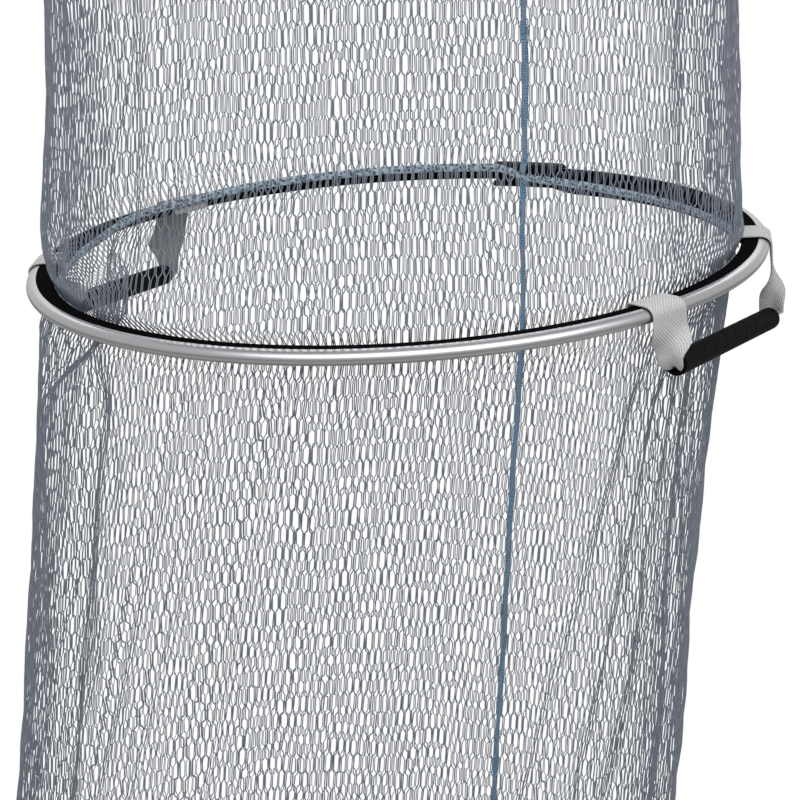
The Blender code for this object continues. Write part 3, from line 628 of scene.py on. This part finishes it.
class Section:
    """The netting between two rings: where its columns and rows lie."""

    def __init__(self, upper, lower, folds):
        self.upper, self.lower, self.folds = upper, lower, folds
        self.ends = upper.hem_low - 0.0002, lower.hem_high + 0.0002
        top = np.array(upper.matrix @ Vector((0, 0, self.ends[0])))
        bottom = np.array(lower.matrix @ Vector((0, 0, self.ends[1])))
        self.middles = top, bottom
        self.length = float(np.linalg.norm(top - bottom))

    def edge(self, station, turn, height, off):
        """Points beside a hem at azimuths."""
        matrix = np.array(station.matrix)
        radius = station.hem_radius(turn) + off
        rise = height + station.hem_rise(turn)
        local = np.stack([radius * np.cos(turn), radius * np.sin(turn), rise], -1)
        return local @ matrix[:3, :3].T + matrix[:3, 3]

    def points(self, column, down, lift):
        """Places of netting points: column is in radians from the seam, lift is outwards."""
        turn = SEAM_TURN + column
        free = np.minimum(down, self.length - down)
        # Its columns hang straight where the whole netting is drawn aside.
        straight = self.aside(down, free) / NETTING_RADIUS * np.sin(turn)
        turn = turn - self.drift(turn, down) - straight
        for fold in self.folds:
            off = (turn - fold.place(down, self.length) + math.pi) % FULL_TURN - math.pi
            turn = turn - fold.gather * off * fold.shape(turn, down, self.length)
        quiet = smooth(free / 0.03)
        for size, *wave in ROUND_WAVES:
            turn = turn + size * wander(turn, down, *wave) * quiet
        moved = down
        for size, *wave in DOWN_WAVES:
            moved = moved + size * wander(turn, down, *wave) * quiet
        share = (moved / self.length)[..., None]
        top = self.edge(self.upper, turn, self.ends[0], -0.0006)
        bottom = self.edge(self.lower, turn, self.ends[1], -0.0006)
        middle = self.middles[0] + (self.middles[1] - self.middles[0]) * share
        arm = top + (bottom - top) * share - middle
        reach = np.linalg.norm(arm, axis=-1)
        arm = arm / reach[..., None]
        aside = self.aside(down, free)
        middle = middle + aside[..., None] * np.array((-1.0, -0.2, 0.0))
        radius = self.radius(turn, down, free, reach)
        for fold in self.folds:
            radius = radius - fold.depth * fold.shape(turn, down, self.length)
        radius = radius + 0.0018 * wander(turn, down, 17, 0.11, 0.20) * smooth(free / 0.06)
        radius = radius + 0.0008 * wander(turn, down, 19, 0.03, 0.09) * quiet
        radius = radius + (PRESSED_RADIUS - radius) * self.press(turn, down)
        return middle + arm * (radius + lift)[..., None]

    def drift(self, turn, down):
        """How far the columns turn on their way down."""
        return 0 * turn

    def aside(self, down, free):
        """How far the netting hangs to -X of its rings' axis."""
        return 0.008 * smooth(free / 0.045)

    def radius(self, turn, down, free, reach):
        """The netting's radius before its folds."""
        return reach + (NETTING_RADIUS - reach) * smooth((free - 0.004) / 0.03)

    def press(self, turn, down):
        """0 where nothing touches the netting, 1 where it lies at the pressed radius."""
        return 0 * turn


class UpperSection(Section):
    """The netting above the handle ring: it stands full over the liner, more so in front."""

    def aside(self, down, free):
        return 0.0034 * smooth((self.length - down) / 0.03) * smooth(down / 0.2)

    def radius(self, turn, down, free, reach):
        # It widens towards the handle ring, steps back behind the straps and bulges in front.
        low = self.length - down
        wide = 0.2272 + 0.0072 * smooth((0.16 - low) / 0.16)
        straps = 0.0
        for strap in STRAP_TURNS:
            straps = straps + near(turn, math.radians(strap), 0.09)
        rise = smooth((low - 0.0005 - 0.008 * np.clip(straps, 0, 1)) / 0.009)
        plain = reach + (wide - reach) * rise * smooth((down - 0.004) / 0.03)
        bulge = near(turn, math.radians(270), math.radians(25))
        return plain + 0.0100 * bulge * rise * (1 - smooth((low - 0.012) / 0.05))


class MiddleSection(Section):
    """The netting below the handle ring, whose left grip leans on it."""

    def aside(self, down, free):
        return 0.0078 * smooth(free / 0.025) - 0.0030 * smooth((down - 0.10) / 0.30)

    def radius(self, turn, down, free, reach):
        # It leaves the handle ring close in and widens further down.
        wide = 0.2328 + 0.0055 * smooth((down - 0.15) / 0.3)
        return reach + (wide - reach) * smooth(free / 0.012)

    def drift(self, turn, down):
        back = (1 + np.sin(turn)) / 2
        slow = math.radians(5.0) * np.clip(down / self.length, 0, 1)
        return back * (math.radians(1.7) * smooth(down / 0.12) + slow)

    def press(self, turn, down):
        off = np.abs((turn - PRESS_TURN + math.pi) % FULL_TURN - math.pi)
        around = 1 - smooth((off - math.radians(10)) / math.radians(8))
        return around * smooth((down - 0.004) / 0.015) * (1 - smooth((down - 0.050) / 0.050))


# Wales are repeated in groups of this many.
GROUP = 6

# Pieces side by side in a section.
STRIPS = 24


def flat_wales(count, rows, sizes, width):
    """Wales of knitted yarn laid flat: X across, Z down and Y outwards.

    A mesh's leg is two yarns side by side, which part at its shoulders, each to join the next
    one's leg. They are thicker where they part.
    """
    shape = bmesh.new()
    apart = (sizes.leg - sizes.yarn) / 2
    leg = sizes.mesh_height - sizes.shoulder
    for side in (1, -1):
        made = bmesh.ops.create_circle(
            shape, cap_ends=True, segments=4, radius=sizes.yarn / 2 * math.sqrt(1.25)
        )["verts"]
        end = made[0].link_faces[0]
        here, wide = Vector((side * apart, 0, 0)), 1.0
        bmesh.ops.translate(shape, verts=made, vec=here)
        stops = []
        for row in range(rows):
            inner = side * (apart if row % 2 == 0 else width / 2 - apart)
            top = row * sizes.mesh_height
            stops.append((Vector((inner, 0, top)), 1.0))
            stops.append((Vector((inner, 0, top + leg)), 1.0))
            stops.append((Vector((side * width / 4, 0, top + leg + sizes.shoulder / 2)), 1.5))
        for stop, wider in stops[1:-1]:
            grown = bmesh.ops.extrude_face_region(shape, geom=[end, *end.edges, *end.verts])["geom"]
            end = next(g for g in grown if isinstance(g, bmesh.types.BMFace))
            for vert in end.verts:
                vert.co.x = stop.x + (vert.co.x - here.x) * wider / wide
                vert.co.z = stop.z
            here, wide = stop, wider
    bmesh.ops.recalc_face_normals(shape, faces=shape.faces)
    for times, pitch in ((GROUP, width), (count // GROUP, width * GROUP)):
        copied = shape.verts[:] + shape.edges[:] + shape.faces[:]
        options = {"dvec": (pitch, 0, 0), "angle": 0.0, "cent": (0, 0, 0), "axis": (0, 0, 1)}
        bmesh.ops.spin(shape, geom=copied, steps=times - 1, use_duplicate=True, **options)
    return shape


class KEEPNET_OT_netting(bpy.types.Operator):
    """Knit the netting of the three sections and the base, and tape its seam"""

    bl_idname = "keepnet.netting"
    bl_label = "Netting"

    def execute(self, context):
        sizes = context.scene.keepnet_netting
        yarn = knitted_yarn(sizes.yarn_colour)
        tape = seam_tape(sizes.seam_colour)
        mouth, handle, middle, base = stations()
        upper_folds = [
            Fold(230, 230, 0.004, 0.012, 0.35),
            Fold(253, 253, 0.005, 0.009, 0.50, 0.05),
            Fold(262, 262, 0.004, 0.007, 0.45, 0.05),
            Fold(286, 286, 0.002, 0.010, 0.30),
            Fold(349, 349, 0.005, 0.012, 0.50, 0.05),
            Fold(213, 211, 0.003, 0.014, 0.15),
            Fold(24, 22, 0.004, 0.016, 0.45),
        ]
        middle_folds = [
            Fold(245, 234, 0.010, 0.014, 0.75, 0.0, 0.70, 1.5),
            Fold(267, 236, 0.006, 0.007, 0.55, 0.0),
            Fold(274, 244, 0.005, 0.006, 0.50, 0.02),
            Fold(283, 262, 0.010, 0.012, 0.80, 0.0),
            Fold(346, 309, 0.006, 0.010, 0.50, 0.02),
            Fold(353, 326, 0.008, 0.008, 0.60, 0.02),
            Fold(361, 364, 0.009, 0.012, 0.75, 0.02),
            Fold(128, 122, 0.006, 0.012, 0.45, 0.05),
            Fold(40, 58, 0.006, 0.010, 0.45, 0.05),
        ]
        lower_folds = [
            Fold(236, 226, 0.008, 0.013, 0.55),
            Fold(255, 236, 0.006, 0.008, 0.50),
            Fold(276, 262, 0.007, 0.010, 0.50),
            Fold(318, 300, 0.006, 0.010, 0.50),
            Fold(336, 328, 0.007, 0.009, 0.55),
            Fold(10, 16, 0.008, 0.012, 0.50),
            Fold(62, 76, 0.006, 0.010, 0.45),
            Fold(150, 140, 0.006, 0.012, 0.50),
            Fold(184, 190, 0.007, 0.012, 0.50),
        ]
        rows = (
            ("upper", UpperSection(mouth, handle, upper_folds), ("handle_ring_slide", 0.35)),
            ("middle", MiddleSection(handle, middle, middle_folds), ("middle_ring_slide", 0.49)),
            ("lower", Section(middle, base, lower_folds), ("base_ring_slide", 0.54)),
        )
        for name, section, slide in rows:
            self.knit(name, section, slide, sizes, yarn)
            self.tape(name, section, slide, tape)
        self.base(base, sizes, yarn)
        return {"FINISHED"}

    def knit(self, name, section, slide, sizes, yarn):
        """Wraps flat wales round a section, in several pieces side by side."""
        width = FULL_TURN * NETTING_RADIUS / sizes.columns
        rows = round((section.length - 0.002) / sizes.mesh_height)
        stretch = section.length / (rows * sizes.mesh_height - sizes.shoulder)
        each = sizes.columns // STRIPS
        shape = flat_wales(each, rows, sizes, width)
        for share in range(STRIPS):
            mesh = bpy.data.meshes.new("netting")
            shape.to_mesh(mesh)
            first = share * each

            def wrapped(x, y, z):
                column = (x / width + first) * FULL_TURN / sizes.columns
                return section.points(column, z * stretch, y)

            lay(mesh, wrapped)
            ride = section.upper.name, "knitted_netting", (f"net_{name}",)
            shown = add_mesh(f"netting_{name}_{share + 1}", mesh, yarn, *ride)
            self.follow(shown, section, slide, (share + 0.5) * FULL_TURN / STRIPS)
        shape.free()

    def follow(self, shown, section, slide, column):
        """Gives a piece a mesh of its own."""
        ends = section.points(np.full(2, column), np.array((0.0, section.length)), np.zeros(2))
        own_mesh(shown)

    def tape(self, name, section, slide, look):
        """The tape on the seam, laid on the netting's outside."""
        shape = bmesh.new()
        rows = int(section.length / 0.004)
        bmesh.ops.create_grid(shape, x_segments=2, y_segments=rows, size=0.5)
        for vert in shape.verts:
            down = (vert.co.y + 0.5) * section.length
            vert.co = Vector((vert.co.x * SEAM_WIDTH, 0.0, down))
        bmesh.ops.solidify(shape, geom=shape.faces[:], thickness=SEAM_THICKNESS)
        bmesh.ops.recalc_face_normals(shape, faces=shape.faces)
        mesh = bpy.data.meshes.new("tape")
        shape.to_mesh(mesh)
        shape.free()
        # Its inner face lies a little inside the yarns.
        lay(mesh, lambda x, y, z: section.points(x / ARC_RADIUS, z, y * 2 - y.min() * 2 - 0.0006))
        ride = section.upper.name, "blue_seam_tape", (f"seam_tape_{name}",)
        self.follow(add_mesh(f"seam_{name}", mesh, look, *ride), section, slide, 0.0)

    def base(self, station, sizes, yarn):
        """The netting across the base ring, sagging a little."""
        radius = float(station.hem_radius(0.0)) - 0.001
        width = FULL_TURN * NETTING_RADIUS / sizes.columns
        count = GROUP * math.ceil(2 * radius / width / GROUP)
        rows = int(2 * radius / sizes.mesh_height)
        shape = flat_wales(count, rows, sizes, width)
        span = Vector((count * width / 2, 0, rows * sizes.mesh_height / 2))
        bmesh.ops.translate(shape, verts=shape.verts, vec=-span)
        outside = [v for v in shape.verts if v.co.x**2 + v.co.z**2 > radius**2]
        bmesh.ops.delete(shape, geom=outside, context="VERTS")
        bmesh.ops.holes_fill(shape, edges=[e for e in shape.edges if e.is_boundary], sides=4)
        for vert in shape.verts:
            away = (vert.co.x**2 + vert.co.z**2) / radius**2
            vert.co = Vector((vert.co.x, vert.co.z, -0.0062 - 0.014 * (1 - away) - vert.co.y))
        bmesh.ops.recalc_face_normals(shape, faces=shape.faces)
        bmesh.ops.transform(shape, matrix=station.matrix, verts=shape.verts)
        add_piece("netting_base", shape, yarn, station.name, "knitted_netting", ("net_base",))


# ---------------------------------------------------------------- handles


class GripLine:
    """A grip's axis in its ring's frame, turned so that the handle is at +X.

    Ends maps -1 and 1, the sides towards -Y and +Y, to an inset from the rim's outside, a drop
    below the ring's middle, the angle that the strap follows the rim round to and the share of
    its fall where it begins to narrow.
    """

    def __init__(self, ends, sizes):
        self.ends, self.sizes = ends, sizes
        low, high = (Vector((0.250 - ends[n][0], 0, -ends[n][1])) for n in (-1, 1))
        slant = high - low
        run = math.sqrt(sizes.grip_length**2 - slant.length_squared)
        self.middle = (low + high) / 2
        self.along = Vector((slant.x, run, slant.z)).normalized()

    def tip(self, side, beyond=0.0):
        """The middle of the grip's end, or of a point further out on its axis."""
        return self.middle + self.along * side * (self.sizes.grip_length / 2 + beyond)

    def matrix(self):
        """A frame at the grip's middle whose Z runs along it."""
        turn = self.along.to_track_quat("Z", "X").to_matrix().to_4x4()
        return Matrix.Translation(self.middle) @ turn


class KEEPNET_OT_handles(bpy.types.Operator):
    """Build the two grips and their webbing straps"""

    bl_idname = "keepnet.handles"
    bl_label = "Handles"

    def execute(self, context):
        sizes = context.scene.keepnet_handles
        webbing = woven_webbing(sizes.webbing_colour)
        rubber = grip_rubber(sizes.grip_colour)
        ring = stations()[1].matrix
        for name, turn, ends, places in (
            ("right", 0, ((0.0165, 0.0345, 0, 0.45), (0.0165, 0.0530, 0, 0.05)), ("front", "rear")),
            ("left", 180, ((0.0089, 0.052, 0, 0.45), (0.0447, 0.026, -90, 0.45)), ("rear", "front")),
        ):
            flip = ring @ Matrix.Rotation(math.radians(turn), 4, "Z")
            line = GripLine(dict(zip((-1, 1), ends)), sizes)
            self.grip(name, flip @ line.matrix(), sizes, rubber)
            for side, where in zip((-1, 1), places):
                self.strap(f"{name}_handle", where, flip, line, side, sizes, webbing)
        return {"FINISHED"}

    def grip(self, name, place, sizes, rubber):
        """A rubber tube with slanted grooves."""
        radius, half = sizes.grip_radius, sizes.grip_length / 2
        corner = radius - GRIP_ROUNDING
        rounding = (GRIP_ROUNDING, GRIP_ROUNDING)
        outline = [(GRIP_BORE, -half + 0.002), (GRIP_BORE, -half), (corner, -half)]
        outline += arc((corner, -half + GRIP_ROUNDING), rounding, -60, 0, 4)
        steps = 150
        straight = 2 * half - 0.006
        outline += [(radius, -half + 0.003 + straight * n / steps) for n in range(steps + 1)]
        outline += arc((corner, half - GRIP_ROUNDING), rounding, 0, 60, 4)
        outline += [(corner, half), (GRIP_BORE, half), (GRIP_BORE, half - 0.002)]
        shape = turned(outline, 40)
        for vert in shape.verts:
            out = math.hypot(vert.co.x, vert.co.y)
            if out < radius - 0.0005:
                continue
            around = math.atan2(vert.co.y, vert.co.x)
            along = vert.co.z + 0.0065 * around
            groove = math.exp(-(((along % GROOVE_PITCH) - GROOVE_PITCH / 2) ** 2) / 0.0009**2)
            fade = smooth((half - 0.012 - abs(vert.co.z)) / 0.006)
            cut = 1 - GROOVE_DEPTH * groove * float(fade) / out
            vert.co.x *= cut
            vert.co.y *= cut
        bmesh.ops.transform(shape, matrix=place, verts=shape.verts)
        node = f"{name}_handle_grip"
        add_piece(f"{node}_shown", shape, rubber, f"{name}_handle", "black_rubber", (node,))

    def strap_lines(self, line, side, sizes):
        """Stations along a strap: middle, width direction, face direction, width and cupping.

        It starts inside the ring, crosses over the liner and the rim, hangs down past the grip's
        end while it twists to face along the grip, and curls into the tube.
        """
        turn = side * sizes.strap_turn
        out = Vector((math.cos(turn), math.sin(turn), 0))
        tangent = Vector((-math.sin(turn), math.cos(turn), 0))
        off = sizes.strap_thickness / 2 + 0.0004
        top = 0.0050 + off
        path = [(0.22905, -0.0025), (0.22905, 0.0035)]
        path += arc((0.23165, top - 0.0026), (0.0026, 0.0026), 180, 90, 5)
        path += [(0.2380, top)]
        path += arc((LIP_RADIUS, 0), (0.0068 + off, top), 90, line.ends[side][2], 10)
        lines = []
        for n, (x, z) in enumerate(path):
            before, after = path[max(n - 1, 0)], path[min(n + 1, len(path) - 1)]
            way = Vector((after[0] - before[0], 0, after[1] - before[1])).normalized()
            run = out * way.x + Vector((0, 0, way.z))
            lines.append((out * x + Vector((0, 0, z)), tangent, run.cross(tangent), 1.0, 0.0))
        start = lines[-1][0]
        curl = 0.0056
        foot = line.tip(side, curl) + Vector((0, 0, curl))
        inwards = -line.along * side
        radial = Vector((1, 0, 0))
        steps = 20
        for n in range(1, steps + 1):
            share = n / steps
            settled = float(smooth((share - 0.20) / 0.80)) ** 1.5
            middle = start.lerp(foot, float(smooth(share / 0.85)))
            middle.z = start.z + (foot.z - start.z) * share
            across = tangent.lerp(radial, settled).normalized()
            face = Vector((0, 0, -1)).cross(across)
            width = 1 - 0.42 * float(smooth((share - line.ends[side][3]) / 0.55))
            lines.append((middle, across, face, width, settled))
        for n in range(1, 9):
            angle = math.pi / 2 * min(n, 6) / 6
            middle = foot + inwards * curl * (1 - math.cos(angle))
            middle -= Vector((0, 0, curl * math.sin(angle)))
            middle += inwards * 0.003 * max(n - 6, 0)
            run = inwards * math.sin(angle) + Vector((0, 0, -math.cos(angle)))
            width = 0.58 - 0.32 * min(1.0, max(0.0, n - 2) / 4)
            lines.append((middle, radial, run.cross(radial), width, 1.0))
        return lines

    def strap(self, body, where, flip, line, side, sizes, webbing):
        """Webbing from inside the ring, over it and down into the grip's end."""
        lines = self.strap_lines(line, side, sizes)
        shape = bmesh.new()
        columns = 12
        bmesh.ops.create_grid(shape, x_segments=columns, y_segments=len(lines) - 1, size=0.5)
        layer = shape.loops.layers.uv.new("strap")
        lengths = [0.0]
        for one, two in zip(lines, lines[1:]):
            lengths.append(lengths[-1] + (two[0] - one[0]).length)
        marks = {}
        for vert in shape.verts:
            row = round((vert.co.y + 0.5) * (len(lines) - 1))
            across = vert.co.x
            middle, wide, face, share, fold = lines[row]
            marks[vert.index] = (across * sizes.strap_width, lengths[row])
            cup = fold * 0.0030 * (1 - math.cos(2 * math.pi * across)) * 0.5
            vert.co = middle + wide * (across * sizes.strap_width * share) + face * cup
        for item in shape.faces:
            for loop in item.loops:
                loop[layer].uv = marks[loop.vert.index]
        bmesh.ops.transform(shape, matrix=flip, verts=shape.verts)
        node = f"{body}_{where}_strap"
        made = add_piece(f"{node}_shown", shape, webbing, None, "grey_webbing", (node,))
        wall = made.modifiers.new("thickness", "SOLIDIFY")
        wall.thickness, wall.offset = sizes.strap_thickness, 0
        made.modifiers.new("rounding", "SUBSURF").levels = 1
        bpy.context.view_layer.update()
        seen = made.evaluated_get(bpy.context.evaluated_depsgraph_get())
        final = bpy.data.meshes.new_from_object(seen)
        made.modifiers.clear()
        made.data = final
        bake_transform(made)


# ---------------------------------------------------------------- boss


class KEEPNET_OT_boss(bpy.types.Operator):
    """Give the bank stick boss, its threaded insert and its screws their materials"""

    bl_idname = "keepnet.boss"
    bl_label = "Bank Stick Boss"

    def execute(self, context):
        looks = {
            "bank_stick_boss": moulded_nylon(context.scene.keepnet_rings.sleeve_colour),
            "threaded_insert": turned_metal("turned_brass", "#c9a45c", 0.3),
            "boss_screw_left": turned_metal("stainless_steel", "#b9bbbd", 0.28),
            "boss_screw_right": turned_metal("stainless_steel", "#b9bbbd", 0.28),
        }
        for node, look in looks.items():
            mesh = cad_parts[node].data
            mesh.materials.clear()
            mesh.materials.append(look)
        return {"FINISHED"}


# ---------------------------------------------------------------- stage


def floor_look(shade):
    """A pale matt floor that keeps the net's shadow and fades to white away from it."""
    made = bpy.data.materials.new("pale_floor")
    made.use_nodes = True
    tree = made.node_tree
    tree.nodes.clear()
    place = add_node(tree, "ShaderNodeTexCoord").outputs["Object"]
    centred = add_node(tree, "ShaderNodeVectorMath", {"operation": "SUBTRACT"}, Vector=place)
    centred.inputs[1].default_value = (0, MOUTH_CENTRE.y, CAD_BOX[0][2] - FLOOR_GAP)
    away = add_node(
        tree, "ShaderNodeVectorMath", {"operation": "LENGTH"}, [centred.outputs["Vector"]]
    )
    fade = add_node(
        tree,
        "ShaderNodeMapRange",
        {"From Min": 0.4, "From Max": 1.4, "interpolation_type": "SMOOTHSTEP"},
        Value=away.outputs["Value"],
    )
    camera_ray = add_node(tree, "ShaderNodeLightPath").outputs["Is Camera Ray"]
    seen = add_node(
        tree, "ShaderNodeMath", {"operation": "MULTIPLY"}, [camera_ray, fade.outputs["Result"]]
    )
    matt = add_node(tree, "ShaderNodeBsdfDiffuse", {"Color": linear(shade)})
    glow = add_node(tree, "ShaderNodeEmission", {"Strength": 1.0})
    parts = [seen.outputs["Value"], matt.outputs["BSDF"], glow.outputs["Emission"]]
    mixed = add_node(tree, "ShaderNodeMixShader", sources=parts)
    add_node(tree, "ShaderNodeOutputMaterial", Surface=mixed.outputs["Shader"])
    return made


class KEEPNET_OT_stage(bpy.types.Operator):
    """Set up the floor, the white world, the lights and the camera"""

    bl_idname = "keepnet.stage"
    bl_label = "Stage"

    def execute(self, context):
        scene = context.scene
        view = scene.keepnet_stage
        shape = bmesh.new()
        bmesh.ops.create_grid(shape, x_segments=1, y_segments=1, size=8.0)
        bmesh.ops.translate(shape, verts=shape.verts, vec=(0, 0, CAD_BOX[0][2] - FLOOR_GAP))
        mesh = bpy.data.meshes.new("floor")
        shape.to_mesh(mesh)
        shape.free()
        mesh.materials.append(floor_look("#dcdcda"))
        floor = bpy.data.objects.new("floor", mesh)
        scene.collection.objects.link(floor)

        self.world(scene)
        middle = Vector((0, 0.28, -0.45))
        for name, heading, height, away, wide, tall, power in (
            ("front_softbox", -56, 52, 1.9, 3.4, 1.7, 60.0),
            ("back_softbox", 120, 40, 2.2, 2.4, 1.0, 22.0),
        ):
            heading, height = math.radians(heading), math.radians(height)
            level = math.cos(height)
            towards = Vector(
                (math.cos(heading) * level, math.sin(heading) * level, math.sin(height))
            )
            light = bpy.data.lights.new(name, "AREA")
            light.shape, light.energy = "RECTANGLE", power
            light.size, light.size_y = wide, tall
            lamp = bpy.data.objects.new(name, light)
            lamp.location = middle + towards * away
            lamp.rotation_euler = (-towards).to_track_quat("-Z", "Y").to_euler()
            scene.collection.objects.link(lamp)

        camera = bpy.data.cameras.new("camera")
        camera.lens, camera.sensor_width, camera.clip_end = view.lens, 36, 50
        seen = bpy.data.objects.new("camera", camera)
        seen.location = view.camera_place
        seen.rotation_euler = (math.pi / 2 - view.camera_down, 0, view.camera_turn)
        scene.collection.objects.link(seen)
        scene.camera = seen
        scene.view_settings.view_transform = "Standard"
        return {"FINISHED"}

    def world(self, scene):
        """White behind the net and in reflections, softer as light."""
        world = bpy.data.worlds.new("studio")
        scene.world = world
        world.use_nodes = True
        tree = world.node_tree
        tree.nodes.clear()
        path = add_node(tree, "ShaderNodeLightPath")
        seen = path.outputs["Is Camera Ray"]
        for ray in ("Is Transmission Ray", "Is Glossy Ray"):
            either = add_node(
                tree, "ShaderNodeMath", {"operation": "MAXIMUM"}, [seen, path.outputs[ray]]
            )
            seen = either.outputs["Value"]
        level = add_node(tree, "ShaderNodeMapRange", {"To Min": 0.50, "To Max": 1.0}, Value=seen)
        white = {"Color": (1, 1, 1, 1)}
        back = add_node(tree, "ShaderNodeBackground", white, Strength=level.outputs["Result"])
        add_node(tree, "ShaderNodeOutputWorld", Surface=back.outputs["Background"])


class KEEPNET_PT_panel(bpy.types.Panel):
    """The net's steps in the 3D view's sidebar"""

    bl_idname = "KEEPNET_PT_panel"
    bl_label = "Keep Net"
    bl_space_type = "VIEW_3D"
    bl_region_type = "UI"
    bl_category = "Keep Net"

    def draw(self, context):
        for step in STEPS:
            self.layout.operator(step.bl_idname)


STEPS = (KEEPNET_OT_stage, KEEPNET_OT_rings, KEEPNET_OT_netting, KEEPNET_OT_handles, KEEPNET_OT_boss)
SETTINGS = (
    ("keepnet_rings", RingSettings),
    ("keepnet_netting", NettingSettings),
    ("keepnet_handles", HandleSettings),
    ("keepnet_stage", StageSettings),
)


def register():
    for name, settings in SETTINGS:
        bpy.utils.register_class(settings)
        setattr(bpy.types.Scene, name, bpy.props.PointerProperty(type=settings))
    for step in (*STEPS, KEEPNET_PT_panel):
        bpy.utils.register_class(step)


def unregister():
    for step in (KEEPNET_PT_panel, *reversed(STEPS)):
        bpy.utils.unregister_class(step)
    for name, settings in reversed(SETTINGS):
        delattr(bpy.types.Scene, name)
        bpy.utils.unregister_class(settings)


def main():
    register()
    bpy.ops.keepnet.stage()
    bpy.ops.keepnet.rings()
    bpy.ops.keepnet.netting()
    bpy.ops.keepnet.handles()
    bpy.ops.keepnet.boss()


if __name__ == "__main__":
    main()
